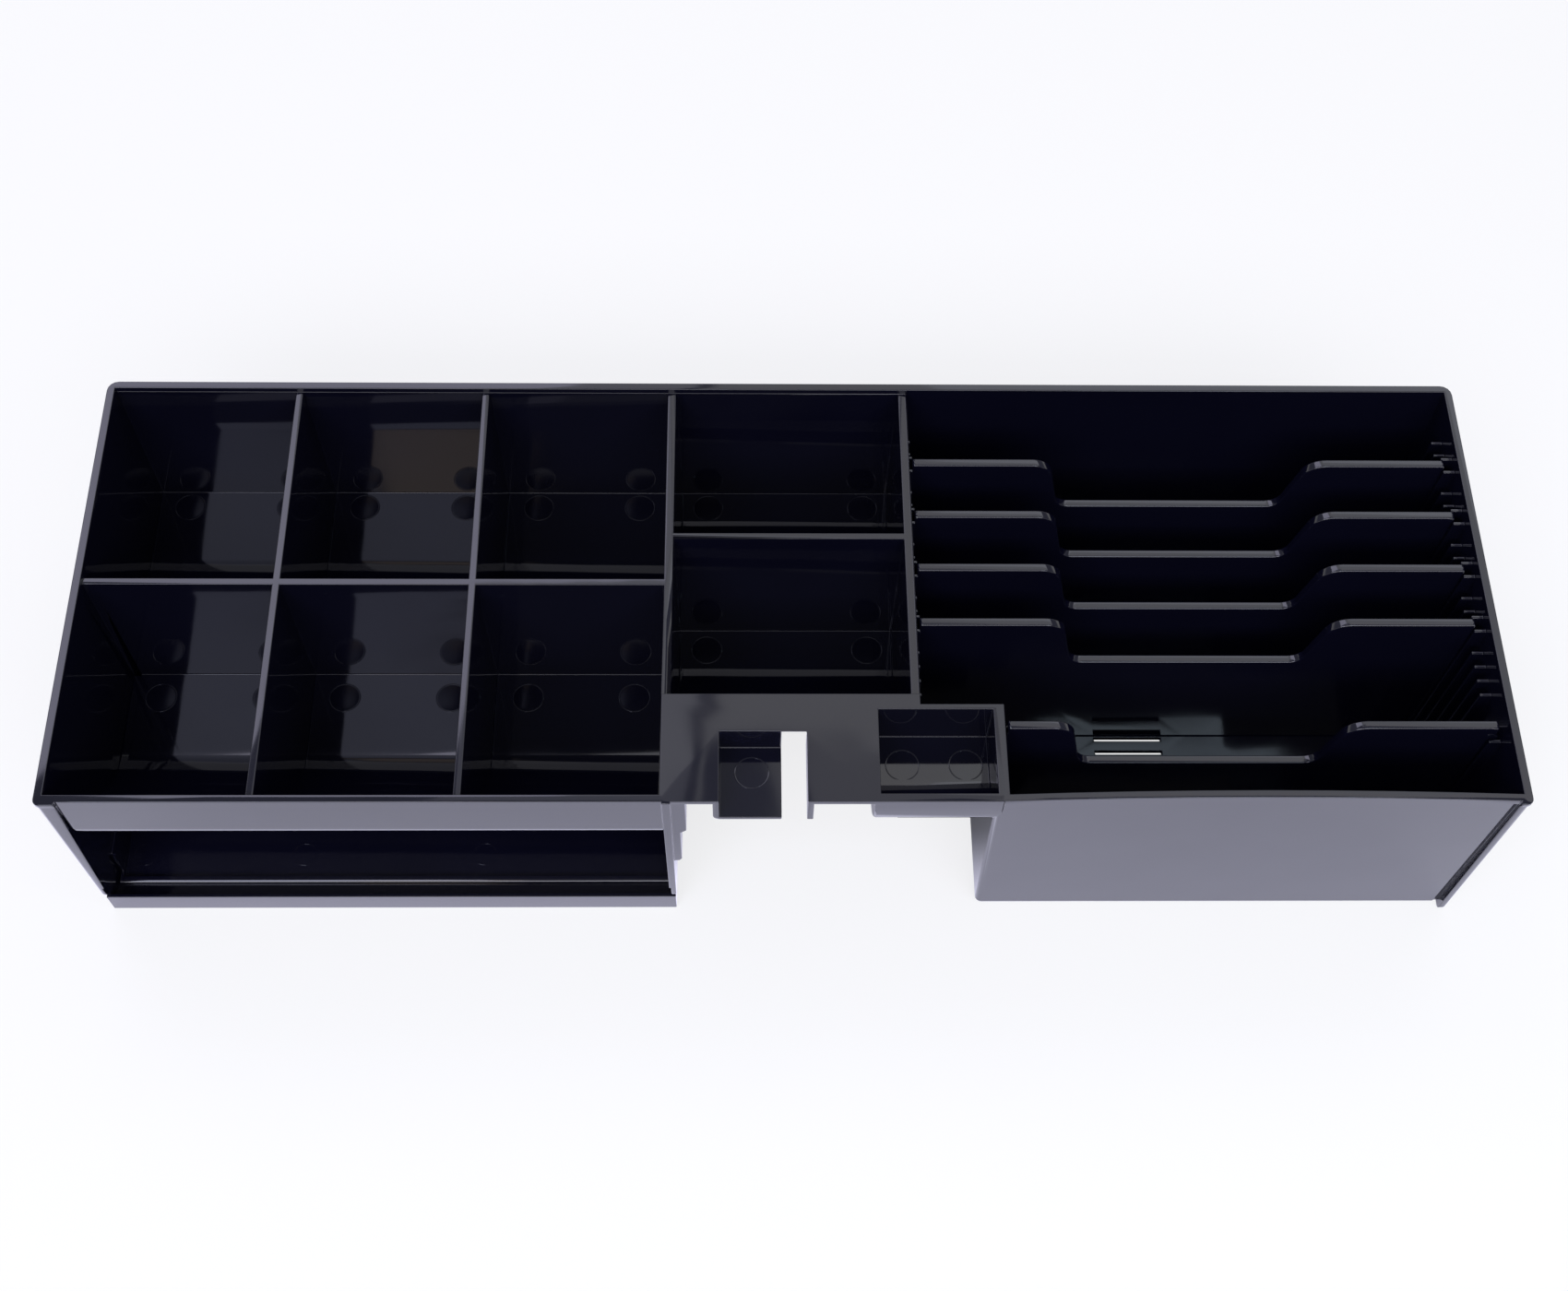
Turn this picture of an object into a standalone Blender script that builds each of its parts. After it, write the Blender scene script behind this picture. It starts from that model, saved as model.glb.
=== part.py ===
"""Insert of a flip-top cash drawer, in metres, +Z up, front towards -Y.

Three kinds of moulding make it up. The tray holds eight scooped coin cups on the left, a deck with a
lock recess and a small pocket in the front middle, and a deep note bay on the right with rib racks on
its side walls. A shallow storage base closes the coin block from below and leaves a shelf that is open
to the front. Five note dividers stand between the ribs and lift straight out.

The origin is the centre of the footprint, on the surface that the insert stands on.
"""
import math

import bmesh
import bpy
from mathutils import Vector

# Overall size over the rim
WIDTH = 0.430
DEPTH = 0.148
HEIGHT = 0.081

# Rim and outer walls: the rim is a bead that stands a little proud of the walls
RIM_WIDTH = 0.0025
RIM_OVERHANG = 0.0008
RIM_BEAD = 0.0016
RIM_SLOPE = 0.0010
CORNER_RADIUS = 0.0035
FRONT_CORNER_RADIUS = 0.0020
OUTER_TAPER = 0.0011
PANEL_SETBACK = 0.0010
PANEL_WALL = 0.0024
PANEL_LEAN = 0.0012
PANEL_BOW = 0.0013
POST_SETBACK = 0.0003
POST_WIDTH = 0.0026
GROOVE_WIDTH = 0.0016
GROOVE_DEPTH = 0.0009

# Coin cups
CUP_COLUMNS = 3
CUP_WIDTH = 0.0570
CUP_WALL = 0.0022
BLOCK_WALL = 0.0026
CENTRE_CUP_WIDTH = 0.0711
ROW_WALL_OFFSET = 0.00085
CENTRE_ROW_WALL_OFFSET = 0.00105
CUP_DEPTH = 0.0585
CUP_FLOOR = 0.0020
CUP_TAPER = 0.0006
DIVIDER_DROP = 0.0020
RAMP_DROP = 0.0212
RAMP_ANGLE = math.radians(50)
RAMP_TOP_RADIUS = 0.0060
RAMP_FOOT_RADIUS = 0.0210

# Skirt that carries the coin block, and the seat of the storage base in it
SKIRT_WALL = 0.0052
SKIRT_FOOT_WALL = 0.0022
SKIRT_FOOT = 0.0104
SKIRT_CORNER = 0.0035
REBATE_HEIGHT = 0.0076
REBATE_DEPTH = 0.0006
BLOCK_STANDOFF = 0.0005
BLOCK_POST_WALL = 0.0025
CUP_END_RADIUS = 0.0015

# Deck, lock recess and small pocket
DECK_DEPTH = 0.0360
DECK_THICKNESS = 0.0019
DECK_SETBACK = 0.0010
LOCK_LEFT = -0.0200
LOCK_WIDTH = 0.0256
LOCK_LENGTH = 0.0236
LOCK_DEPTH = 0.0108
LOCK_WALL = 0.0018
LOCK_FLOOR = 0.0015
LOCK_SLOT_WIDTH = 0.0074
LOCK_SLOT_LAND = 0.0006
LOCK_RADIUS = 0.0020
POCKET_WIDTH = 0.0338
POCKET_FRONT = 0.0037
POCKET_LENGTH = 0.0271
POCKET_DEPTH = 0.0180
POCKET_WALL = 0.0018
POCKET_SCOOP = 0.0130
POCKET_SHELL_RADIUS = 0.0113
POCKET_SIDE_RADIUS = 0.0030
FIN_SETBACK = 0.0018
FIN_LENGTH = 0.0080
FIN_WIDTH = 0.0024
FIN_DROP = 0.0445
FIN_STEP_WIDTH = 0.0018
FIN_STEP_DROP = 0.0240
FIN_CHAMFER = 0.0014

# Note bay
NOTE_WALL = 0.0025
NOTE_FRONT_LEFT = 0.0604
NOTE_FRONT_WALL = 0.0033
NOTE_FRONT_LEDGE = 0.0008
NOTE_FRONT_RADIUS = 0.0018
NOTE_STEP_WALL = 0.0018
NOTE_SIDE_LEAN = 0.0020
NOTE_TAPER = 0.0008
NOTE_FLOOR = 0.0035
BASE_RADIUS = 0.0025
BASE_MARGIN = 0.0100
BASE_RECESS = 0.0015
SLIT_COUNT = 2
SLIT_LENGTH = 0.0224
SLIT_WIDTH = 0.0013
SLIT_PITCH = 0.0049
SLIT_OFFSET = 0.0013
SLIT_CENTRE = 0.1157

# Rib racks: a tall pair guides each divider at its own place, the lower ribs give other places
RIB_PITCH = 0.00482
RIB_THICKNESS = 0.0011
LEFT_RIB_DEPTH = 0.0014
RIGHT_RIB_DEPTH = 0.0036
TALL_RIB_DROP = 0.0040
LOW_RIB_DROP = 0.0090
FIRST_SLOT_FROM_BACK = 0.0256
FRONT_SLOT_FROM_FRONT = 0.0272
BACK_DIVIDERS = 4
SPACES_ALONG = 4.75
SPARE_RIBS_BEHIND = 2
SPARE_RIBS_AHEAD = 4

# Note dividers
BLADE_THICKNESS = 0.0028
BLADE_DROP = 0.0030
BLADE_CLEARANCE = 0.0005
BLADE_CHAMFER = 0.0030
LEFT_SHOULDER = 0.0006
RIGHT_SHOULDER = 0.0025
FRONT_RIGHT_SHOULDER = 0.0013
SHOULDER_HEIGHT = 0.0055
SHOULDER_RADIUS = 0.0010
DIP_CENTRE = 0.1251
DIP_DEPTH = 0.0233
DIP_TOP_WIDTH = 0.0820
DIP_FOOT_WIDTH = 0.0720
DIP_TOP_RADIUS = 0.0070
DIP_FOOT_RADIUS = 0.0045

# Storage base
BASE_FLOOR = 0.0020
BASE_WALL = 0.0010
LIP_SETBACK = 0.0012
LIP_WALL = 0.0012
LIP_HEIGHT = 0.0091
BASE_END_INSET = 0.0003
TONGUE_WALL = 0.0010
TONGUE_SETBACK = 0.0040
RIDGE_SETBACK = 0.0084
RIDGE_WALL = 0.0022
RIDGE_HEIGHT = 0.0020
RIDGE_SLOPE_RUN = 0.0009
RIDGE_SLOPE_RISE = 0.0006

# Clearance between touching mouldings, overrun of cutters, and steps of arcs
SEAT_GAP = 0.0003
OVERRUN = 0.0010
ARC_STEPS = 4
SCOOP_STEPS = 6
BOW_STEPS = 8

# Planes that several pieces share
LEFT = -WIDTH / 2
RIGHT = WIDTH / 2
FRONT = -DEPTH / 2
BACK = DEPTH / 2
PANEL = FRONT + PANEL_SETBACK
INNER_LEFT = LEFT + RIM_WIDTH
INNER_RIGHT = RIGHT - RIM_WIDTH
INNER_FRONT = PANEL + PANEL_WALL
INNER_BACK = BACK - RIM_WIDTH
WALL_LEFT = LEFT + RIM_OVERHANG
WALL_RIGHT = RIGHT - RIM_OVERHANG
WALL_BACK = BACK - RIM_OVERHANG
BLOCK_LEFT = INNER_LEFT + CUP_COLUMNS * CUP_WIDTH + (CUP_COLUMNS - 1) * CUP_WALL
BLOCK_RIGHT = BLOCK_LEFT + BLOCK_WALL
BLOCK_OUTER = BLOCK_RIGHT + BLOCK_STANDOFF
CENTRE_RIGHT = BLOCK_RIGHT + CENTRE_CUP_WIDTH
NOTE_LEFT = CENTRE_RIGHT + NOTE_WALL
NOTE_FRONT_INNER = NOTE_FRONT_LEFT + NOTE_FRONT_WALL
DECK_BACK = FRONT + DECK_DEPTH
POCKET_BACK = FRONT + POCKET_FRONT + POCKET_LENGTH
NOTE_STEP = POCKET_BACK + NOTE_STEP_WALL
ROW_BACK = (INNER_FRONT + INNER_BACK - CUP_WALL) / 2 + ROW_WALL_OFFSET
SECOND_ROW = ROW_BACK + CUP_WALL
CENTRE_ROW_BACK = (DECK_BACK + INNER_BACK - CUP_WALL) / 2 + CENTRE_ROW_WALL_OFFSET
CENTRE_SECOND_ROW = CENTRE_ROW_BACK + CUP_WALL
FIRST_SLOT = INNER_BACK - FIRST_SLOT_FROM_BACK
FRONT_SLOT = (FIRST_SLOT - FRONT - FRONT_SLOT_FROM_FRONT) / RIB_PITCH
HOME_STEP = int(FRONT_SLOT / SPACES_ALONG)
HOME_SLOTS = [number * HOME_STEP for number in range(BACK_DIVIDERS)]
LEAN_START = FIRST_SLOT + SPARE_RIBS_BEHIND * RIB_PITCH
CUP_BOTTOM = HEIGHT - CUP_DEPTH


def clear_scene():
    for thing in list(bpy.data.objects):
        bpy.data.objects.remove(thing, do_unlink=True)


def plastic(name, colour, roughness):
    """Moulded glossy black plastic."""
    material = bpy.data.materials.new(name)
    material.use_nodes = True
    shader = material.node_tree.nodes["Principled BSDF"]
    shader.inputs["Base Color"].default_value = (*colour, 1)
    shader.inputs["Roughness"].default_value = roughness
    shader.inputs["Metallic"].default_value = 0
    return material


def rounded(corners, steps=ARC_STEPS):
    """Outline through (u, v, radius) corners, with an arc wherever the radius isn't zero."""
    outline = []
    for index, (u, v, radius) in enumerate(corners):
        corner = Vector((u, v))
        if not radius:
            outline.append(corner)
            continue
        to_last = (Vector(corners[index - 1][:2]) - corner).normalized()
        to_next = (Vector(corners[(index + 1) % len(corners)][:2]) - corner).normalized()
        half = to_last.angle(to_next) / 2
        centre = corner + (to_last + to_next).normalized() * (radius / math.sin(half))
        start = corner + to_last * (radius / math.tan(half)) - centre
        end = corner + to_next * (radius / math.tan(half)) - centre
        for step in range(steps + 1):
            outline.append(centre + start.slerp(end, step / steps).normalized() * radius)
    return outline


def solid(name, rings):
    """Closed body through rings of points, with a flat cap on the first and last ring."""
    shape = bmesh.new()
    loops = [[shape.verts.new(point) for point in ring] for ring in rings]
    shape.faces.new(loops[0])
    shape.faces.new(loops[-1])
    count = len(loops[0])
    for lower, upper in zip(loops, loops[1:]):
        for index in range(count):
            following = (index + 1) % count
            shape.faces.new((lower[index], lower[following], upper[following], upper[index]))
    bmesh.ops.recalc_face_normals(shape, faces=shape.faces)
    mesh = bpy.data.meshes.new(name)
    shape.to_mesh(mesh)
    shape.free()
    body = bpy.data.objects.new(name, mesh)
    bpy.context.scene.collection.objects.link(body)
    return body


def upright(name, levels):
    """Body through plan outlines, each given with its height."""
    return solid(name, [[(x, y, height) for x, y in outline] for height, outline in levels])


def across(name, profile, low, high):
    """Side profile in (y, z), drawn out along X."""
    return solid(name, [[(x, y, z) for y, z in profile] for x in (low, high)])


def along(name, profile, low, high):
    """Front profile in (x, z), drawn out along Y."""
    return solid(name, [[(x, y, z) for x, z in profile] for y in (low, high)])


def rectangle(low_x, low_y, high_x, high_y):
    corners = ((low_x, low_y), (high_x, low_y), (high_x, high_y), (low_x, high_y))
    return [Vector(corner) for corner in corners]


def block(name, low, high):
    """Plain block between two corners, for cuts."""
    plan = rectangle(low[0], low[1], high[0], high[1])
    return upright(name, [(low[2], plan), (high[2], plan)])


def lean_sides(body, drawn_in, over):
    """Draw the left and right sides together with depth below the rim, as a mould's draft does."""
    middle = sum(vertex.co.x for vertex in body.data.vertices) / len(body.data.vertices)
    for vertex in body.data.vertices:
        depth = max(HEIGHT - vertex.co.z, 0)
        shift = drawn_in * depth / over
        vertex.co.x += shift if vertex.co.x < middle else -shift
    return body


def bake(body, name):
    """Replace a body's mesh by its evaluated one, and forget its modifiers."""
    bpy.context.view_layer.update()
    evaluated = body.evaluated_get(bpy.context.evaluated_depsgraph_get())
    mesh = bpy.data.meshes.new_from_object(evaluated)
    body.modifiers.clear()
    body.data = mesh
    mesh.name = name


def join_and_cut(body, additions, cuts):
    """Unite a body with its additions, then take the cuts out of it."""
    for operation, tools in (("UNION", additions), ("DIFFERENCE", cuts)):
        for tool in tools:
            change = body.modifiers.new(tool.name, "BOOLEAN")
            change.operation = operation
            change.solver = "EXACT"
            change.object = tool
    bake(body, body.name)
    for tool in additions + cuts:
        bpy.data.objects.remove(tool, do_unlink=True)
    return body


def lean_walls(body):
    """Draw the side and back walls in towards the foot, as the draft of the mould does.

    The racks stand in front of the part that leans, so a divider rises straight out of its place.
    """
    for vertex in body.data.vertices:
        share = (HEIGHT - vertex.co.z) / HEIGHT
        towards_back = (vertex.co.y - LEAN_START) / (BACK - LEAN_START)
        vertex.co.x -= OUTER_TAPER * share * vertex.co.x / RIGHT
        vertex.co.y -= OUTER_TAPER * share * max(towards_back, 0)


def finish(body, material):
    """Weld the seams that cutting leaves, shade smooth up to the real edges, and give the finish."""
    lean_walls(body)
    shape = bmesh.new()
    shape.from_mesh(body.data)
    bmesh.ops.remove_doubles(shape, verts=shape.verts, dist=SEAT_GAP / 100)
    bmesh.ops.recalc_face_normals(shape, faces=shape.faces)
    shape.to_mesh(body.data)
    shape.free()
    body.data.materials.clear()
    body.data.materials.append(material)
    body.data.shade_smooth()
    body.data.set_sharp_from_angle(angle=math.radians(30))
    return body


def ramp_corners(front, wall, spread):
    """Where a scooped cup's ramp meets its front wall and its floor, moved outwards by the spread."""
    sine, cosine, slope = math.sin(RAMP_ANGLE), math.cos(RAMP_ANGLE), math.tan(RAMP_ANGLE)
    knee = HEIGHT - RAMP_DROP
    top = knee - spread * cosine + (wall - spread * sine) * slope
    run = (knee - CUP_BOTTOM + spread * (1 - cosine)) / slope
    return top, front - spread * sine + run


def cup_profile(front, back, wall, spread, top):
    """Side profile of a cup's hollow, or with a wall and a spread, of the shell around it."""
    knee, foot = ramp_corners(front, wall, spread)
    floor = CUP_BOTTOM - spread
    lean = 0 if spread else CUP_TAPER
    return rounded((
        (front - wall, top, 0),
        (front - wall, knee, RAMP_TOP_RADIUS + spread),
        (foot, floor, RAMP_FOOT_RADIUS + spread),
        (back + spread - lean, floor, 0),
        (back + spread, top, 0),
    ))


def cup_hollow(name, left, width, front, back):
    hollow = across(name, cup_profile(front, back, 0, 0, HEIGHT + OVERRUN), left, left + width)
    return lean_sides(hollow, CUP_TAPER, CUP_DEPTH)


def cup_shell(name, left, right, front, back, wall):
    return across(name, cup_profile(front, back, wall, CUP_FLOOR, HEIGHT), left, right)


def round_cup_end(body, end):
    """Round the outer edges of a shell's left end, which leaves a groove beside the side wall."""
    shape = bmesh.new()
    shape.from_mesh(body.data)
    edges = []
    for edge in shape.edges:
        on_end = all(abs(vertex.co.x - end) < SEAT_GAP for vertex in edge.verts)
        on_top = all(abs(vertex.co.z - HEIGHT) < SEAT_GAP for vertex in edge.verts)
        on_back = all(vertex.co.y > ROW_BACK for vertex in edge.verts)
        if on_end and not on_top and not on_back:
            edges.append(edge)
    bmesh.ops.bevel(
        shape, geom=edges, offset=CUP_END_RADIUS, segments=ARC_STEPS, affect="EDGES", profile=0.5,
    )
    shape.to_mesh(body.data)
    shape.free()
    return body


def coin_cups():
    """Hollows of the six left cups and the two centre cups, and the shells that carry them."""
    hollows = []
    rows = ((INNER_FRONT, ROW_BACK), (SECOND_ROW, INNER_BACK))
    for row, (front, back) in enumerate(rows):
        for column in range(CUP_COLUMNS):
            left = INNER_LEFT + column * (CUP_WIDTH + CUP_WALL)
            hollows.append(cup_hollow(f"cup_{row}_{column}", left, CUP_WIDTH, front, back))
    centre_rows = (("front", DECK_BACK, CENTRE_ROW_BACK), ("back", CENTRE_SECOND_ROW, INNER_BACK))
    for row, front, back in centre_rows:
        hollows.append(cup_hollow(f"centre_cup_{row}", BLOCK_RIGHT, CENTRE_CUP_WIDTH, front, back))
    inside_skirt = INNER_LEFT + CUP_TAPER
    inside_block = BLOCK_LEFT + BLOCK_WALL / 2
    inside_note_wall = CENTRE_RIGHT + NOTE_WALL / 2
    reach = WALL_BACK - CUP_FLOOR - SEAT_GAP
    behind_post = WALL_LEFT + SKIRT_WALL - REBATE_DEPTH
    front_row = cup_shell("front_row", behind_post, inside_block, INNER_FRONT, ROW_BACK, PANEL_WALL)
    shells = [
        round_cup_end(front_row, behind_post),
        cup_shell("back_row", inside_skirt, inside_block, SECOND_ROW, reach, CUP_WALL),
        cup_shell("centre_front", inside_block, inside_note_wall, DECK_BACK, CENTRE_ROW_BACK, CUP_WALL),
        cup_shell("centre_back", inside_block, inside_note_wall, CENTRE_SECOND_ROW, reach, CUP_WALL),
    ]
    return shells, hollows


def foot_levels(foot, radius):
    """Heights of a rounded foot edge, each with how far the face has curved back there."""
    levels = []
    for step in range(ARC_STEPS + 1):
        angle = math.pi / 2 * step / ARC_STEPS
        levels.append((foot + radius * (1 - math.sin(angle)), radius * (1 - math.cos(angle))))
    return levels


def coin_skirts():
    """Skirt under the coin cups, open at the front, where its ends show as slim posts."""
    def outline(back_off):
        front = FRONT + POST_SETBACK + back_off
        return rounded((
            (WALL_LEFT, front, FRONT_CORNER_RADIUS - RIM_OVERHANG), (BLOCK_OUTER, front, 0),
            (BLOCK_OUTER, WALL_BACK, 0), (WALL_LEFT, WALL_BACK, CORNER_RADIUS - RIM_OVERHANG),
        ))

    levels = [(HEIGHT, outline(0))]
    levels += [(height, outline(back_off)) for height, back_off in foot_levels(SKIRT_FOOT, SKIRT_CORNER)]
    body = upright("coin_skirt", levels)

    foot_left = WALL_LEFT + SKIRT_FOOT_WALL
    foot_right = BLOCK_OUTER - SKIRT_FOOT_WALL
    foot_back = WALL_BACK - SKIRT_FOOT_WALL
    top = rectangle(
        WALL_LEFT + SKIRT_WALL, FRONT - OVERRUN, BLOCK_OUTER - BLOCK_POST_WALL, INNER_BACK - CUP_TAPER,
    )
    foot = rectangle(foot_left, FRONT - OVERRUN, foot_right, foot_back)
    rebate_top = SKIRT_FOOT + REBATE_HEIGHT
    seat = rectangle(
        foot_left - REBATE_DEPTH, FRONT - OVERRUN, foot_right + REBATE_DEPTH, foot_back + REBATE_DEPTH,
    )
    inside = upright("inside", [
        (HEIGHT + OVERRUN, top), (HEIGHT, top), (rebate_top, foot), (rebate_top, seat),
        (SKIRT_FOOT - OVERRUN, seat),
    ])
    skirt = join_and_cut(body, [], [inside])

    back = across("back_skirt", [Vector(point) for point in (
        (WALL_BACK, HEIGHT),
        (INNER_BACK - CUP_TAPER, HEIGHT),
        (foot_back, rebate_top),
        (foot_back, SKIRT_FOOT),
        (WALL_BACK, SKIRT_FOOT),
    )], BLOCK_OUTER - REBATE_DEPTH, CENTRE_RIGHT + NOTE_WALL / 2)
    return [skirt, back]


def note_plan(front_left, front, right, back, left, step, bow, corner=0):
    """L-shaped plan of the note bay, its front bowed inwards. The pocket takes the front left corner."""
    corners = [(front_left, front, corner * NOTE_FRONT_RADIUS)]
    for index in range(1, BOW_STEPS):
        share = index / BOW_STEPS
        bowed = front + bow * 4 * share * (1 - share)
        corners.append((front_left + (right - front_left) * share, bowed, 0))
    corners += [
        (right, front, corner * (FRONT_CORNER_RADIUS - RIM_OVERHANG)),
        (right, back, corner * (CORNER_RADIUS - RIM_OVERHANG)),
        (left, back, 0), (left, step, 0), (front_left, step, 0),
    ]
    return rounded(corners)


def note_bay():
    """Shell, hollow and underside recess of the note bay."""
    front_left = NOTE_FRONT_LEFT - NOTE_FRONT_LEDGE
    top = note_plan(
        front_left, PANEL, WALL_RIGHT, WALL_BACK, CENTRE_RIGHT, POCKET_BACK, PANEL_BOW, corner=1,
    )

    def foot_plan(drawn_in):
        return note_plan(
            front_left + NOTE_SIDE_LEAN + drawn_in, PANEL + PANEL_LEAN + drawn_in,
            WALL_RIGHT - drawn_in, WALL_BACK - drawn_in, CENTRE_RIGHT + NOTE_TAPER + drawn_in,
            POCKET_BACK + NOTE_TAPER + drawn_in, 0, corner=1,
        )

    levels = [(HEIGHT, top)]
    levels += [(height, foot_plan(drawn_in)) for height, drawn_in in foot_levels(0, BASE_RADIUS)]
    shell = upright("note_shell", levels)

    mouth = note_plan(
        NOTE_FRONT_INNER, INNER_FRONT, INNER_RIGHT, INNER_BACK, NOTE_LEFT, NOTE_STEP, PANEL_BOW,
    )
    floor = note_plan(
        NOTE_FRONT_INNER + NOTE_TAPER, INNER_FRONT + NOTE_TAPER, INNER_RIGHT - NOTE_TAPER,
        INNER_BACK - NOTE_TAPER, NOTE_LEFT + NOTE_TAPER, NOTE_STEP + NOTE_TAPER, 0,
    )
    hollow = upright("note_hollow", [
        (HEIGHT + OVERRUN, mouth),
        (HEIGHT, mouth),
        (NOTE_FLOOR, floor),
    ])
    underside = foot_plan(BASE_MARGIN)
    recess = upright("note_underside", [(-OVERRUN, underside), (BASE_RECESS, underside)])
    return shell, hollow, recess


def slot_position(slot):
    return FIRST_SLOT - slot * RIB_PITCH


def rib(name, wall, side, depth, position, drop):
    """One upright rib, flat on top, standing out of a side wall."""
    top = HEIGHT - drop
    foot = NOTE_FLOOR - SEAT_GAP
    root = wall - side * RIB_THICKNESS
    tip = wall + side * depth
    profile = [Vector(point) for point in (
        (root, foot), (tip + side * NOTE_TAPER, foot), (tip, top), (root, top),
    )]
    return along(name, profile, position - RIB_THICKNESS / 2, position + RIB_THICKNESS / 2)


def rib_racks():
    """Ribs on both side walls of the note bay, tall where they flank a divider's own place."""
    places = [(number - 0.5, LOW_RIB_DROP) for number in range(-SPARE_RIBS_BEHIND, 0)]
    for number in range(HOME_SLOTS[-1] + SPARE_RIBS_AHEAD + 2):
        flanks = number in HOME_SLOTS or number - 1 in HOME_SLOTS
        places.append((number - 0.5, TALL_RIB_DROP if flanks else LOW_RIB_DROP))
    places += [(FRONT_SLOT - 0.5, LOW_RIB_DROP), (FRONT_SLOT + 0.5, LOW_RIB_DROP)]
    ribs = []
    for place, drop in places:
        position = slot_position(place)
        left_wall = NOTE_LEFT if position > NOTE_STEP else NOTE_FRONT_INNER
        ribs.append(rib("left_rib", left_wall, 1, LEFT_RIB_DEPTH, position, drop))
        ribs.append(rib("right_rib", INNER_RIGHT, -1, RIGHT_RIB_DEPTH, position, drop))
    return ribs


def floor_slits():
    """Slots through the note bay's floor, in front of the fourth divider."""
    slits = []
    nearest = slot_position(HOME_SLOTS[3]) - BLADE_THICKNESS / 2 - SLIT_OFFSET
    for number in range(SLIT_COUNT):
        middle = nearest - number * SLIT_PITCH
        slits.append(block(
            f"slit_{number}",
            (SLIT_CENTRE - SLIT_LENGTH / 2, middle - SLIT_WIDTH / 2, -OVERRUN),
            (SLIT_CENTRE + SLIT_LENGTH / 2, middle + SLIT_WIDTH / 2, NOTE_FLOOR + OVERRUN),
        ))
    return slits


def rim_bead():
    """Bead round the left, back and right of the rim, with a sloped underside."""
    def outline(inset):
        left, right, back = LEFT + inset, RIGHT - inset, BACK - inset
        front = FRONT + min(inset, POST_SETBACK)
        near, far = FRONT_CORNER_RADIUS - inset, CORNER_RADIUS - inset
        return rounded((
            (left, front, near), (right, front, near), (right, back, far), (left, back, far),
        ))

    edge = outline(0)
    under = outline(RIM_OVERHANG)
    ring = upright("rim_bead", [
        (HEIGHT, edge),
        (HEIGHT - RIM_BEAD, edge),
        (HEIGHT - RIM_BEAD - RIM_SLOPE, under),
    ])
    low = HEIGHT - RIM_BEAD - RIM_SLOPE - OVERRUN
    high = HEIGHT + OVERRUN
    front_gap = block(
        "front_gap", (WALL_LEFT + SKIRT_WALL, FRONT - OVERRUN, low),
        (WALL_RIGHT - POST_WIDTH, INNER_FRONT + OVERRUN, high),
    )
    middle = block("middle", (INNER_LEFT, INNER_FRONT, low), (INNER_RIGHT, INNER_BACK, high))
    return join_and_cut(ring, [], [front_gap, middle])


def deck():
    """Flat deck at the rim's level, with the lock recess and the small pocket hung from it."""
    front = FRONT + DECK_SETBACK
    plate = block(
        "deck", (BLOCK_RIGHT - BLOCK_WALL / 2, front, HEIGHT - DECK_THICKNESS),
        (NOTE_FRONT_LEFT + NOTE_FRONT_WALL / 2, DECK_BACK, HEIGHT),
    )
    lock_right = LOCK_LEFT + LOCK_WIDTH
    lock_back = FRONT + LOCK_LENGTH
    lock_floor = HEIGHT - LOCK_DEPTH
    lock_bottom = lock_floor - LOCK_FLOOR
    lock_shell = along("lock_shell", rounded((
        (LOCK_LEFT - LOCK_WALL, HEIGHT, 0),
        (LOCK_LEFT - LOCK_WALL, lock_bottom, LOCK_RADIUS),
        (lock_right + LOCK_WALL, lock_bottom, 0),
        (lock_right + LOCK_WALL, HEIGHT, 0),
    )), front, lock_back + LOCK_WALL)
    slot_left = lock_right - LOCK_SLOT_WIDTH
    lock_hollow = block(
        "lock_hollow", (LOCK_LEFT, FRONT - OVERRUN, lock_floor),
        (slot_left + OVERRUN, lock_back, HEIGHT + OVERRUN),
    )
    lock_slot = block(
        "lock_slot", (slot_left, FRONT - OVERRUN, lock_bottom - OVERRUN),
        (lock_right, lock_back, HEIGHT + OVERRUN),
    )
    behind_slot = lock_back + LOCK_WALL + OVERRUN
    slot_back = across("slot_back", [Vector(point) for point in (
        (lock_back - OVERRUN, lock_bottom - OVERRUN), (behind_slot, lock_bottom - OVERRUN),
        (behind_slot, HEIGHT - DECK_THICKNESS), (lock_back, HEIGHT - LOCK_SLOT_LAND),
        (lock_back - OVERRUN, HEIGHT - LOCK_SLOT_LAND),
    )], slot_left, lock_right)

    pocket_left = NOTE_FRONT_LEFT - POCKET_WIDTH
    pocket_floor = HEIGHT - POCKET_DEPTH
    pocket_bottom = pocket_floor - POCKET_WALL
    pocket_front = FRONT + POCKET_FRONT
    pocket_shell = across("pocket_shell", rounded((
        (front, HEIGHT, 0),
        (front, pocket_bottom, POCKET_SHELL_RADIUS),
        (NOTE_STEP, pocket_bottom, 0),
        (NOTE_STEP, HEIGHT, 0),
    ), SCOOP_STEPS), pocket_left - POCKET_WALL, NOTE_FRONT_INNER - NOTE_FRONT_WALL / 2)
    pocket_hollow = across("pocket_hollow", rounded((
        (pocket_front, HEIGHT + OVERRUN, 0),
        (pocket_front, pocket_floor, POCKET_SCOOP),
        (POCKET_BACK, pocket_floor, 0),
        (POCKET_BACK, HEIGHT + OVERRUN, 0),
    ), SCOOP_STEPS), pocket_left, NOTE_FRONT_LEFT)
    cuts = [lock_hollow, lock_slot, slot_back, pocket_hollow]
    return [plate, lock_shell, round_left_foot(pocket_shell)], cuts


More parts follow.
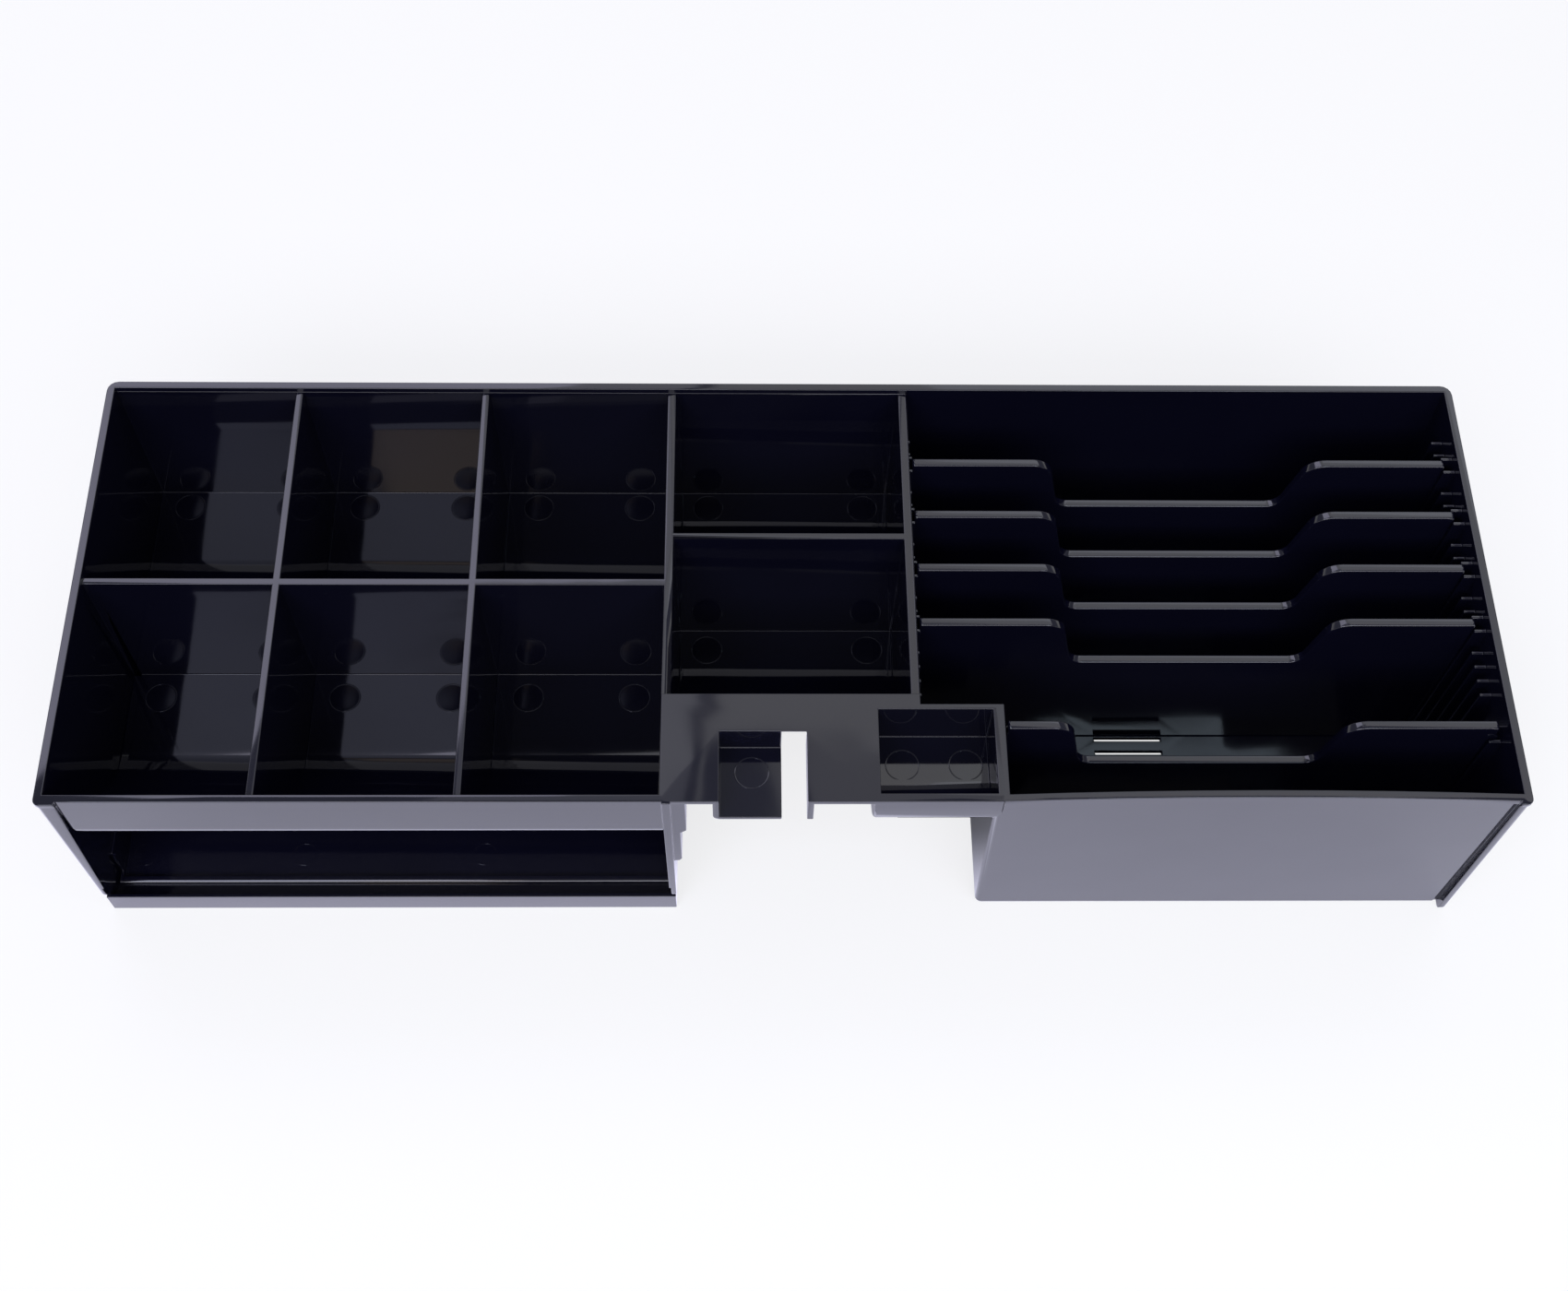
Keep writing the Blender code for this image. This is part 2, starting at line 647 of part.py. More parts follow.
def round_left_foot(body):
    """Round the lower left edge of the pocket's shell."""
    shape = bmesh.new()
    shape.from_mesh(body.data)
    left = min(vertex.co.x for vertex in shape.verts)
    edges = []
    for edge in shape.edges:
        on_left = all(abs(vertex.co.x - left) < SEAT_GAP for vertex in edge.verts)
        below = all(vertex.co.z < HEIGHT - SEAT_GAP for vertex in edge.verts)
        level = abs(edge.verts[0].co.x - edge.verts[1].co.x) < SEAT_GAP
        behind = all(abs(vertex.co.y - NOTE_STEP) < SEAT_GAP for vertex in edge.verts)
        if on_left and below and level and not behind:
            edges.append(edge)
    bmesh.ops.bevel(
        shape, geom=edges, offset=POCKET_SIDE_RADIUS, segments=ARC_STEPS, affect="EDGES", profile=0.5,
        clamp_overlap=True,
    )
    shape.to_mesh(body.data)
    shape.free()
    return body


def stepped_fin():
    """Stiffening fin in the corner between the deck and the coin block's right wall."""
    root = BLOCK_RIGHT - BLOCK_WALL / 2
    first = BLOCK_OUTER + FIN_WIDTH
    second = first + FIN_STEP_WIDTH
    top = HEIGHT - DECK_THICKNESS / 2
    step_foot = HEIGHT - FIN_STEP_DROP
    foot = HEIGHT - FIN_DROP
    profile = [Vector(point) for point in (
        (root, top), (root, foot), (first - FIN_CHAMFER / 2, foot), (first, foot + FIN_CHAMFER),
        (first, step_foot), (second, step_foot + FIN_STEP_WIDTH), (second, top),
    )]
    start = FRONT + FIN_SETBACK
    return along("stepped_fin", profile, start, start + FIN_LENGTH)


def side_post():
    """Front end of the note bay's right wall, in front of the panel, and the groove beside it."""
    inner = WALL_RIGHT - POST_WIDTH
    corner = FRONT_CORNER_RADIUS - RIM_OVERHANG

    def outline(back_off):
        front = FRONT + POST_SETBACK + back_off
        return rounded((
            (inner, front, 0), (WALL_RIGHT, front, corner),
            (WALL_RIGHT, INNER_FRONT + corner, 0), (inner, INNER_FRONT + corner, 0),
        ))

    levels = [(HEIGHT, outline(0))]
    levels += [(height, outline(back_off)) for height, back_off in foot_levels(0, BASE_RADIUS / 2)]
    post = upright("side_post", levels)

    def strip(lean):
        back = PANEL + PANEL_LEAN * lean + GROOVE_DEPTH
        return rectangle(inner - GROOVE_WIDTH, FRONT - OVERRUN, inner, back)

    rim_foot = HEIGHT - RIM_BEAD - RIM_SLOPE
    groove = upright("groove", [(-OVERRUN, strip(1)), (0, strip(1)), (rim_foot, strip(0))])
    return post, groove


def divider_drops():
    """Cuts that set the tops of the inner dividers a little below the rim."""
    low = HEIGHT - DIVIDER_DROP
    high = HEIGHT + OVERRUN
    return [
        block("coin_drop", (INNER_LEFT, INNER_FRONT, low), (BLOCK_LEFT, INNER_BACK, high)),
        block("centre_drop", (BLOCK_LEFT - OVERRUN, DECK_BACK, low), (NOTE_LEFT, INNER_BACK, high)),
    ]


def build_tray(material):
    shell, note_hollow, note_recess = note_bay()
    shells, hollows = coin_cups()
    deck_parts, deck_cuts = deck()
    post, groove = side_post()
    body = join_and_cut(
        shell,
        shells + coin_skirts() + deck_parts + [stepped_fin(), post, rim_bead()],
        hollows + deck_cuts + divider_drops() + [note_hollow, note_recess, groove] + floor_slits(),
    )
    body.name = "tray"
    return finish(join_and_cut(body, rib_racks(), []), material)


def build_storage_base(material):
    """Shallow base under the coin block: front lip, raised ridge, and a tongue inside the skirt."""
    left = WALL_LEFT + BASE_END_INSET
    right = BLOCK_OUTER - BASE_END_INSET
    front = FRONT + LIP_SETBACK
    back = WALL_BACK
    wall_top = SKIRT_FOOT - SEAT_GAP
    outer = [Vector(point) for point in ((left, front), (right, front), (right, back), (left, back))]
    body = upright("storage_base", [(0, outer), (wall_top, outer)])

    pan = rectangle(left + BASE_WALL, front + LIP_WALL, right - BASE_WALL, back - BASE_WALL)
    pan_cut = upright("pan_cut", [(BASE_FLOOR, pan), (wall_top + OVERRUN, pan)])
    lip_cut = block(
        "lip_cut", (left - OVERRUN, front - OVERRUN, LIP_HEIGHT),
        (right + OVERRUN, front + SKIRT_CORNER + LIP_WALL, wall_top + OVERRUN),
    )
    body = join_and_cut(body, [], [pan_cut, lip_cut])

    skirt_left = WALL_LEFT + SKIRT_FOOT_WALL - REBATE_DEPTH
    skirt_right = BLOCK_OUTER - SKIRT_FOOT_WALL + REBATE_DEPTH
    skirt_back = WALL_BACK - SKIRT_FOOT_WALL + REBATE_DEPTH
    tongue_left = skirt_left + SEAT_GAP
    tongue_right = skirt_right - SEAT_GAP
    tongue_back = skirt_back - SEAT_GAP
    tongue_top = SKIRT_FOOT + REBATE_HEIGHT - SEAT_GAP
    tongue_foot = BASE_FLOOR / 2
    ridge = FRONT + RIDGE_SETBACK
    ridge_top = BASE_FLOOR + RIDGE_HEIGHT
    ring = rectangle(tongue_left, ridge, tongue_right, tongue_back)
    tongue = upright("tongue", [(tongue_foot, ring), (tongue_top, ring)])
    inside = rectangle(
        tongue_left + TONGUE_WALL, ridge + RIDGE_WALL,
        tongue_right - TONGUE_WALL, tongue_back - TONGUE_WALL,
    )
    inside_cut = upright("inside_cut", [(tongue_foot - OVERRUN, inside), (tongue_top + OVERRUN, inside)])
    ridge_cut = block(
        "ridge_cut", (tongue_left - OVERRUN, ridge - OVERRUN, ridge_top),
        (tongue_right + OVERRUN, ridge + TONGUE_SETBACK, tongue_top + OVERRUN),
    )
    run_on = OVERRUN * RIDGE_SLOPE_RISE / RIDGE_SLOPE_RUN
    slope_cut = across("slope_cut", [Vector(point) for point in (
        (ridge - OVERRUN, ridge_top - RIDGE_SLOPE_RISE - run_on),
        (ridge + RIDGE_SLOPE_RUN + OVERRUN, ridge_top + run_on),
        (ridge - OVERRUN, ridge_top + run_on),
    )], tongue_left - OVERRUN, tongue_right + OVERRUN)
    tongue = join_and_cut(tongue, [], [inside_cut, ridge_cut, slope_cut])
    return finish(join_and_cut(body, [tongue], []), material)


def note_wall_at(wall, side, height):
    """Inner face of a note bay side wall at a height, with its draft."""
    return wall + side * NOTE_TAPER * (HEIGHT - height) / (HEIGHT - NOTE_FLOOR)


def build_divider(name, slot, left_wall, right_shoulder, material):
    """Blade with tongues that run in the racks, and a dip in its top edge for fingers."""
    foot = NOTE_FLOOR + SEAT_GAP
    top = HEIGHT - BLADE_DROP
    tongue_top = top - SHOULDER_HEIGHT
    low = top - DIP_DEPTH

    def left_edge(height):
        return note_wall_at(left_wall, 1, height) + BLADE_CLEARANCE

    def right_edge(height):
        return note_wall_at(INNER_RIGHT, -1, height) - BLADE_CLEARANCE

    shoulder_left = left_edge(top) + LEFT_SHOULDER
    shoulder_right = right_edge(top) - right_shoulder
    outline = rounded((
        (left_edge(foot) + BLADE_CHAMFER, foot, 0),
        (right_edge(foot) - BLADE_CHAMFER, foot, 0),
        (right_edge(foot + BLADE_CHAMFER), foot + BLADE_CHAMFER, 0),
        (right_edge(tongue_top), tongue_top, 0),
        (shoulder_right, tongue_top + right_shoulder, 0),
        (shoulder_right, top, SHOULDER_RADIUS),
        (DIP_CENTRE + DIP_TOP_WIDTH / 2, top, DIP_TOP_RADIUS),
        (DIP_CENTRE + DIP_FOOT_WIDTH / 2, low, DIP_FOOT_RADIUS),
        (DIP_CENTRE - DIP_FOOT_WIDTH / 2, low, DIP_FOOT_RADIUS),
        (DIP_CENTRE - DIP_TOP_WIDTH / 2, top, DIP_TOP_RADIUS),
        (shoulder_left, top, SHOULDER_RADIUS),
        (shoulder_left, tongue_top + LEFT_SHOULDER, 0),
        (left_edge(tongue_top), tongue_top, 0),
        (left_edge(foot + BLADE_CHAMFER), foot + BLADE_CHAMFER, 0),
    ), SCOOP_STEPS)
    position = slot_position(slot)
    blade = along(name, outline, position - BLADE_THICKNESS / 2, position + BLADE_THICKNESS / 2)
    return finish(blade, material)


def build_insert():
    clear_scene()
    build_tray(plastic("tray_black", (0.010, 0.010, 0.013), 0.18))
    build_storage_base(plastic("base_black", (0.010, 0.010, 0.013), 0.22))
    blade_black = plastic("divider_black", (0.011, 0.011, 0.014), 0.20)
    for number, slot in enumerate(HOME_SLOTS, start=1):
        build_divider(f"note_divider_{number}", slot, NOTE_LEFT, RIGHT_SHOULDER, blade_black)
    front_number = len(HOME_SLOTS) + 1
    build_divider(
        f"note_divider_{front_number}", FRONT_SLOT, NOTE_FRONT_INNER, FRONT_RIGHT_SHOULDER, blade_black,
    )


build_insert()
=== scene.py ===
"""Looks of a cash drawer insert: glossy black mouldings on a white table under soft studio light."""
import math

import bmesh
import bpy
from mathutils.bvhtree import BVHTree
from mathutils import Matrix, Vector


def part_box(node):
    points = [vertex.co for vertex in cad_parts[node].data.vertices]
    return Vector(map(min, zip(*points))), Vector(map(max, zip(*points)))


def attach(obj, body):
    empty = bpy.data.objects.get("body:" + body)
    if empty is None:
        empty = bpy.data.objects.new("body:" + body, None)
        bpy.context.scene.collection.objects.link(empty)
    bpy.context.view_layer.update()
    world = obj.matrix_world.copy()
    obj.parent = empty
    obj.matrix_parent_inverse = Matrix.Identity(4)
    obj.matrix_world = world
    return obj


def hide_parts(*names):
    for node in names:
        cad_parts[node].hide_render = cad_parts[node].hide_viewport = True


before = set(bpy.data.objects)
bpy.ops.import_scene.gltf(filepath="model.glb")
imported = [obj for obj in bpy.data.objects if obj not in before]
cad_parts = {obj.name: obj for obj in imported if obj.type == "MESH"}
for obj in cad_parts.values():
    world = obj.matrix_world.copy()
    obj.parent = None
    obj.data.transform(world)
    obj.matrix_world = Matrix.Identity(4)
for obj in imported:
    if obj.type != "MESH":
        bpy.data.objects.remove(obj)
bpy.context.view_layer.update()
scene = bpy.context.scene
scene.view_settings.view_transform = "Standard"

# Camera: a short lens in front of the insert and well above it, so that it looks down into the cups
# and still sees the front walls. Its place was fitted to the straight edges of the rim.
CAMERA_LENS = 47.647
SENSOR_WIDTH = 36
CAMERA_PLACE = (-0.013889, -0.321270, 0.621767)
CAMERA_TURN = (0.50567827, -0.01883891, -0.00948522)

camera_data = bpy.data.cameras.new("camera")
camera_data.lens = CAMERA_LENS
camera_data.sensor_width = SENSOR_WIDTH
camera = bpy.data.objects.new("camera", camera_data)
camera.location = CAMERA_PLACE
camera.rotation_euler = CAMERA_TURN
scene.collection.objects.link(camera)
scene.camera = camera

# Table and room: a white matt table top, which keeps its shadow, in a pale room with a white backdrop.
# Light path values let the plastic's gloss see a painted pool of light on the table in front of the insert
# and a painted shadow on it under its deck, and the room white near the horizon.
WHITE = (1, 1, 1, 1)
TABLE_HALF = 3.0
TABLE_WHITE = "#F6F6F8"
TABLE_ROUGHNESS = 0.9
TABLE_SHARE = 0.75
PAINTED_POOL_COLOUR = "#E4E2FF"
PAINTED_POOL_STRENGTH = 0.80
POOL_START = -0.044
POOL_END = -0.076
PAINTED_NEAR_STRENGTH = 0.50
NEAR_START = -0.098
NEAR_END = -0.080
NEAR_RIGHT_END = 0.060
NEAR_FULL = -0.030
BAY_SHADE = 0.55
ROOM_GREY = "#A6A8B4"
ROOM_STRENGTH = 0.8
HORIZON_TOP = 0.35
HORIZON_FULL = 0.175


def linear(colour):
    """Linear colour, with alpha, of an sRGB hex value."""
    values = [int(colour[start:start + 2], 16) / 255 for start in (1, 3, 5)]
    return (*(v / 12.92 if v <= 0.04045 else ((v + 0.055) / 1.055) ** 2.4 for v in values), 1)


def add_node(tree, kind, settings=None, **links):
    """Node of a kind, with its properties and socket values set and its inputs linked."""
    node = tree.nodes.new(kind)
    for key, value in (settings or {}).items():
        if isinstance(key, str) and hasattr(node, key):
            setattr(node, key, value)
        else:
            node.inputs[key].default_value = value
    for socket, source in links.items():
        name = socket.replace("_", " ")
        target = node.inputs[int(name[3:])] if name.startswith("in ") else node.inputs[name]
        tree.links.new(source, target)
    return node


def add_piece(name, shape):
    """Object at the origin from a finished bmesh."""
    mesh = bpy.data.meshes.new(name)
    shape.to_mesh(mesh)
    shape.free()
    piece = bpy.data.objects.new(name, mesh)
    scene.collection.objects.link(piece)
    return piece


table_shape = bmesh.new()
bmesh.ops.create_grid(table_shape, x_segments=1, y_segments=1, size=TABLE_HALF)
table = add_piece("table_top", table_shape)
table_white = bpy.data.materials.new("matt_white_table")
table_white.use_nodes = True
tree = table_white.node_tree
shader = tree.nodes["Principled BSDF"]
shader.inputs["Base Color"].default_value = linear(TABLE_WHITE)
shader.inputs["Roughness"].default_value = TABLE_ROUGHNESS
shader.inputs["Specular IOR Level"].default_value = 0
path = add_node(tree, "ShaderNodeLightPath")
seen = add_node(tree, "ShaderNodeMath", {"operation": "ADD"}, in_0=path.outputs["Is Camera Ray"],
                in_1=path.outputs["Is Transmission Ray"])
share = add_node(tree, "ShaderNodeMath", {"operation": "MULTIPLY", 1: TABLE_SHARE}, in_0=seen.outputs[0])
white = add_node(tree, "ShaderNodeEmission", {"Color": WHITE, "Strength": 1.0})
plain = add_node(tree, "ShaderNodeMixShader", in_0=share.outputs[0], in_1=shader.outputs[0],
                 in_2=white.outputs[0])
place = add_node(tree, "ShaderNodeTexCoord")
where = add_node(tree, "ShaderNodeSeparateXYZ", Vector=place.outputs["Object"])
# Painted light: a pool of light on the table in front of the insert, seen only by gloss rays, with more of
# it painted near the left front.
pool = add_node(tree, "ShaderNodeMapRange", {
    "interpolation_type": "SMOOTHSTEP", "From Min": POOL_START, "From Max": POOL_END,
    "To Min": 0.0, "To Max": PAINTED_POOL_STRENGTH,
}, Value=where.outputs["Y"])
near = add_node(tree, "ShaderNodeMapRange", {
    "interpolation_type": "SMOOTHSTEP", "From Min": NEAR_START, "From Max": NEAR_END,
    "To Min": 0.0, "To Max": PAINTED_NEAR_STRENGTH,
}, Value=where.outputs["Y"])
near_left = add_node(tree, "ShaderNodeMapRange", {
    "interpolation_type": "SMOOTHSTEP", "From Min": NEAR_RIGHT_END, "From Max": NEAR_FULL,
}, Value=where.outputs["X"])
near_share = add_node(tree, "ShaderNodeMath", {"operation": "MULTIPLY"}, in_0=near.outputs["Result"],
                      in_1=near_left.outputs["Result"])
total = add_node(tree, "ShaderNodeMath", {"operation": "ADD"}, in_0=pool.outputs["Result"],
                 in_1=near_share.outputs[0])
in_gloss = add_node(tree, "ShaderNodeMath", {"operation": "MULTIPLY"}, in_0=path.outputs["Is Glossy Ray"],
                    in_1=total.outputs[0])
painted_pool_glow = add_node(tree, "ShaderNodeEmission", {"Color": linear(PAINTED_POOL_COLOUR)},
                       Strength=in_gloss.outputs[0])
# Painted shadow: gloss rays see the table darkened under the deck, where the insert shades it.
shade = add_node(tree, "ShaderNodeMapRange", {
    "interpolation_type": "SMOOTHSTEP", "From Min": POOL_END, "From Max": POOL_START,
    "To Max": BAY_SHADE,
}, Value=where.outputs["Y"])
bay_shade = add_node(tree, "ShaderNodeMath", {"operation": "MULTIPLY"}, in_0=path.outputs["Is Glossy Ray"],
                     in_1=shade.outputs["Result"])
painted_bay_shadow = add_node(tree, "ShaderNodeEmission", {"Strength": 0.0})
shaded = add_node(tree, "ShaderNodeMixShader", in_0=bay_shade.outputs[0], in_1=plain.outputs[0],
                  in_2=painted_bay_shadow.outputs[0])
both = add_node(tree, "ShaderNodeAddShader", in_0=shaded.outputs[0], in_1=painted_pool_glow.outputs[0])
tree.links.new(both.outputs[0], tree.nodes["Material Output"].inputs["Surface"])
table.data.materials.append(table_white)

world = bpy.data.worlds.new("studio")
scene.world = world
world.use_nodes = True
tree = world.node_tree
room = tree.nodes["Background"]
room.inputs["Color"].default_value = linear(ROOM_GREY)
room.inputs["Strength"].default_value = ROOM_STRENGTH
path = add_node(tree, "ShaderNodeLightPath")
backdrop = add_node(tree, "ShaderNodeBackground", {"Color": WHITE, "Strength": 1.0})
direction = add_node(tree, "ShaderNodeTexCoord")
upward = add_node(tree, "ShaderNodeSeparateXYZ", Vector=direction.outputs["Generated"])
horizon = add_node(tree, "ShaderNodeMapRange", {
    "interpolation_type": "SMOOTHSTEP", "From Min": HORIZON_TOP, "From Max": HORIZON_FULL,
}, Value=upward.outputs["Z"])
in_gloss = add_node(tree, "ShaderNodeMath", {"operation": "MULTIPLY"}, in_0=path.outputs["Is Glossy Ray"],
                    in_1=horizon.outputs["Result"])
seen = add_node(tree, "ShaderNodeMath", {"operation": "ADD"}, in_0=path.outputs["Is Camera Ray"],
                in_1=path.outputs["Is Transmission Ray"])
white_share = add_node(tree, "ShaderNodeMath", {"operation": "ADD", "use_clamp": True},
                       in_0=seen.outputs[0], in_1=in_gloss.outputs[0])
mixed = add_node(tree, "ShaderNodeMixShader", in_0=white_share.outputs[0], in_1=room.outputs[0],
                 in_2=backdrop.outputs[0])
tree.links.new(mixed.outputs[0], tree.nodes["World Output"].inputs["Surface"])

# Studio lights: softboxes that hang level and face down. Every upward face mirrors those at the back,
# the rounded front edges mirror the wide one in front, the cups on the left mirror those at the left,
# and the low one at the right lights the right end. Each row is a name, the left, right, front and back
# edges, the height, the radiance and the colour.
SOFTBOXES = (
    ("back_left_softbox", -1.50, -0.25, 0.84, 2.00, 1.90, 2.90, "#E7E5FF"),
    ("back_near_softbox", -0.25, -0.072, 0.84, 2.00, 1.90, 1.15, "#F6F6FF"),
    ("back_centre_softbox", -0.050, 0.26, 0.84, 2.00, 1.90, 1.05, "#FFFEFF"),
    ("back_right_softbox", 0.26, 1.50, 0.84, 1.23, 1.90, 1.15, "#FAFCFF"),
    ("back_right_far_softbox", 0.26, 1.50, 1.23, 2.00, 1.90, 1.80, "#F3F6FF"),
    ("back_near_fill", -0.40, -0.068, 0.60, 0.84, 1.90, 0.55, "#F0F0FF"),
    ("back_slim_fill", -0.046, -0.034, 0.60, 0.84, 1.90, 0.62, "#FFFEFF"),
    ("back_centre_fill", 0.050, 0.30, 0.60, 0.84, 1.90, 0.60, "#FFFEFF"),
    ("back_right_fill", 0.30, 1.50, 0.60, 0.84, 1.90, 1.15, "#FFFDFF"),
    ("front_softbox", -1.40, 1.40, -2.40, -1.25, 1.60, 6.0, "#F4F4FF"),
    ("right_low_softbox", 0.160, 0.295, -0.245, -0.187, 0.45, 9.0, "#DAEDFF"),
    ("left_softbox", -0.95, -0.29, -0.87, -0.50, 1.45, 5.5, "#DCE0FF"),
    ("left_low_softbox", -0.95, -0.46, -1.15, -0.87, 1.45, 5.0, "#DCE0FF"),
    ("warm_softbox", -0.45, -0.27, -1.10, -0.90, 1.45, 5.5, "#FFEBDD"),
)


def softbox(name, left, right, front, back, height, radiance, colour):
    """Level area light between two sides, seen at a given radiance."""
    data = bpy.data.lights.new(name, "AREA")
    data.shape = "RECTANGLE"
    data.size = right - left
    data.size_y = back - front
    data.energy = radiance * data.size * data.size_y * math.pi
    data.color = linear(colour)[:3]
    light = bpy.data.objects.new(name, data)
    light.location = ((left + right) / 2, (front + back) / 2, height)
    scene.collection.objects.link(light)


for row in SOFTBOXES:
    softbox(*row)

# Tray: one large injection moulding of glossy black ABS with the rim, cups, deck and note bay in it.
# The mould's polish leaves it mirror-like, the flats are very slightly wavy where the plastic shrank,
# and every edge has a small radius that catches the light.
TRAY_BLACK = "#0B0B19"
TRAY_ROUGHNESS = 0.05
TRAY_EDGE = 0.00028
EDGE_SEGMENTS = 2
EDGE_REACH_SHARE = 0.8
WELD_DISTANCE = 0.000002
FLAT_DEGREES = 0.3
SHARP_DEGREES = 42
SLIVER_AREA = 0.05e-6
FLAT_WEIGHT = 80
PLASTIC_IOR = 1.55
TINT_LENGTH = 0.05
TINT_SHARES = (0.8, 1.2)
SCUFF_LENGTH = 0.02
SCUFF_START = 0.35
SCUFF_END = 0.75
SCUFF_SHARES = (0.8, 1.4)
WAVE_LENGTH = 0.030
SINK_WAVE = 0.00010


def softened(node, edge_radius):
    """Welded copy of a CAD node's mesh, its flat faces made whole and its sharp edges rounded."""
    shape = bmesh.new()
    shape.from_mesh(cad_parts[node].data)
    bmesh.ops.remove_doubles(shape, verts=shape.verts, dist=WELD_DISTANCE)
    bmesh.ops.dissolve_limit(
        shape, angle_limit=math.radians(FLAT_DEGREES), verts=shape.verts, edges=shape.edges,
    )
    bmesh.ops.triangulate(shape, faces=shape.faces, quad_method="BEAUTY", ngon_method="BEAUTY")
    sharp = [
        edge for edge in shape.edges
        if len(edge.link_faces) == 2 and edge.calc_face_angle() > math.radians(SHARP_DEGREES)
        and min(face.calc_area() for face in edge.link_faces) > SLIVER_AREA
    ]
    surface = BVHTree.FromBMesh(shape)
    bmesh.ops.bevel(
        shape, geom=sharp, offset=edge_radius, segments=EDGE_SEGMENTS, affect="EDGES", profile=0.5,
        material=-1, clamp_overlap=False,
    )
    lowest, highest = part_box(node)
    for vert in shape.verts:
        nearest, _, _, distance = surface.find_nearest(vert.co)
        if distance > edge_radius * EDGE_REACH_SHARE:
            vert.co = nearest
        vert.co = [min(max(at, low), high) for at, low, high in zip(vert.co, lowest, highest)]
    for face in shape.faces:
        face.smooth = True
    return shape


def level_normals(piece):
    """Keep flat faces flat in the shading, and let the narrow edge faces take the turn."""
    weighted = piece.modifiers.new("level_normals", "WEIGHTED_NORMAL")
    weighted.keep_sharp = True
    weighted.weight = FLAT_WEIGHT
    return piece


def gloss_black(name, colour, roughness, wave):
    """Injection-moulded gloss black plastic: a faint waviness in the mirror, and fine scuffs."""
    material = bpy.data.materials.new(name)
    material.use_nodes = True
    tree = material.node_tree
    shader = tree.nodes["Principled BSDF"]
    shader.inputs["IOR"].default_value = PLASTIC_IOR
    where = add_node(tree, "ShaderNodeTexCoord").outputs["Object"]
    tint = add_node(tree, "ShaderNodeTexNoise", {"Scale": 1 / TINT_LENGTH, "Detail": 2.0}, Vector=where)
    ramp = add_node(tree, "ShaderNodeValToRGB", Fac=tint.outputs["Fac"])
    base = linear(colour)
    for stop, tint_share in zip(ramp.color_ramp.elements, TINT_SHARES):
        stop.color = (*(v * tint_share for v in base[:3]), 1)
    tree.links.new(ramp.outputs["Color"], shader.inputs["Base Color"])
    scuffs = add_node(tree, "ShaderNodeTexNoise", {"Scale": 1 / SCUFF_LENGTH, "Detail": 6.0}, Vector=where)
    least, most = (roughness * scuff_share for scuff_share in SCUFF_SHARES)
    rough = add_node(tree, "ShaderNodeMapRange", {
        "From Min": SCUFF_START, "From Max": SCUFF_END, "To Min": least, "To Max": most,
    }, Value=scuffs.outputs["Fac"])
    tree.links.new(rough.outputs["Result"], shader.inputs["Roughness"])
    waves = add_node(tree, "ShaderNodeTexNoise", {"Scale": 1 / WAVE_LENGTH, "Detail": 1.0}, Vector=where)
    bump = add_node(tree, "ShaderNodeBump", {"Strength": 1.0, "Distance": wave}, Height=waves.outputs["Fac"])
    tree.links.new(bump.outputs["Normal"], shader.inputs["Normal"])
    return material


tray = level_normals(add_piece("tray_moulding", softened("tray", TRAY_EDGE)))
tray_black = gloss_black("moulded_gloss_abs_tray", TRAY_BLACK, TRAY_ROUGHNESS, SINK_WAVE)
tray.data.materials.append(tray_black)
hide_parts("tray")
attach(tray, "insert")

# Ramp edge: a narrow strip of the same moulding that joins the front left cup's ramp and floor to the
# side wall, where the solid leaves a slit. It lies a hair below their surface.
STRIP_LEFT = -0.2112
STRIP_RIGHT = -0.2079
STRIP_DROP = 0.0001
STRIP_THICKNESS = 0.0010
RAMP_LINE = (
    (-0.0670, 0.0555), (-0.0650, 0.0531), (-0.0600, 0.0472), (-0.0550, 0.0412), (-0.0500, 0.0352),
    (-0.0450, 0.0294), (-0.0400, 0.0254), (-0.0350, 0.0233), (-0.0300, 0.0226), (-0.0250, 0.0225),
    (-0.0010, 0.0225),
)

strip_shape = bmesh.new()
sections = []
for along, surface in RAMP_LINE:
    top = surface - STRIP_DROP
    bottom = top - STRIP_THICKNESS
    corners = ((STRIP_LEFT, top), (STRIP_RIGHT, top), (STRIP_RIGHT, bottom), (STRIP_LEFT, bottom))
    sections.append([strip_shape.verts.new((side, along, height)) for side, height in corners])
for here, beyond in zip(sections, sections[1:]):
    for corner in range(len(here)):
        strip_shape.faces.new((here[corner - 1], here[corner], beyond[corner], beyond[corner - 1]))
strip_shape.faces.new(sections[0])
strip_shape.faces.new(sections[-1])
bmesh.ops.recalc_face_normals(strip_shape, faces=strip_shape.faces)
strip = add_piece("front_left_cup_edge", strip_shape)
strip.data.materials.append(tray_black)
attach(strip, "insert")

# Ejector marks: the round prints that the mould's ejector pins leave, two at the back of each coin
# cup's floor, two in the small pocket and one in the lock recess. Each is a thin raised rim, and in the
# cups the disc inside it is duller than the polished floor.
RING_RADIUS = 0.0050
RING_WIDTH = 0.0005
RING_HEIGHT = 0.00004
RING_STEPS = 48
RING_SHARES = ((-1.0, -1.0), (-0.6, 0.7), (0.0, 1.0), (0.6, 0.7), (1.0, -1.0))
DISC_HEIGHT = 0.00001
DISC_TOP_SHARE = 0.97
DISC_ROUGHNESS = 0.15
DISC_SPECULAR = 0.18
MARK_WAVE = 0.00002
CUP_FLOOR_HEIGHT = 0.0225
COIN_CUP_MIDDLES = (-0.1840, -0.1248, -0.0656)
MARK_SIDES = (-0.0172, 0.0174)
CENTRE_CUP_MARKS = (-0.0250, 0.0279)
FRONT_ROW_MARKS = -0.0090
BACK_ROW_MARKS = 0.0642
CENTRE_ROW_MARKS = 0.0088
LOCK_MARK = (-0.0105, -0.0587, 0.0702)
POCKET_MARKS = ((0.0345, -0.0528, 0.0630), (0.0535, -0.0528, 0.0630))


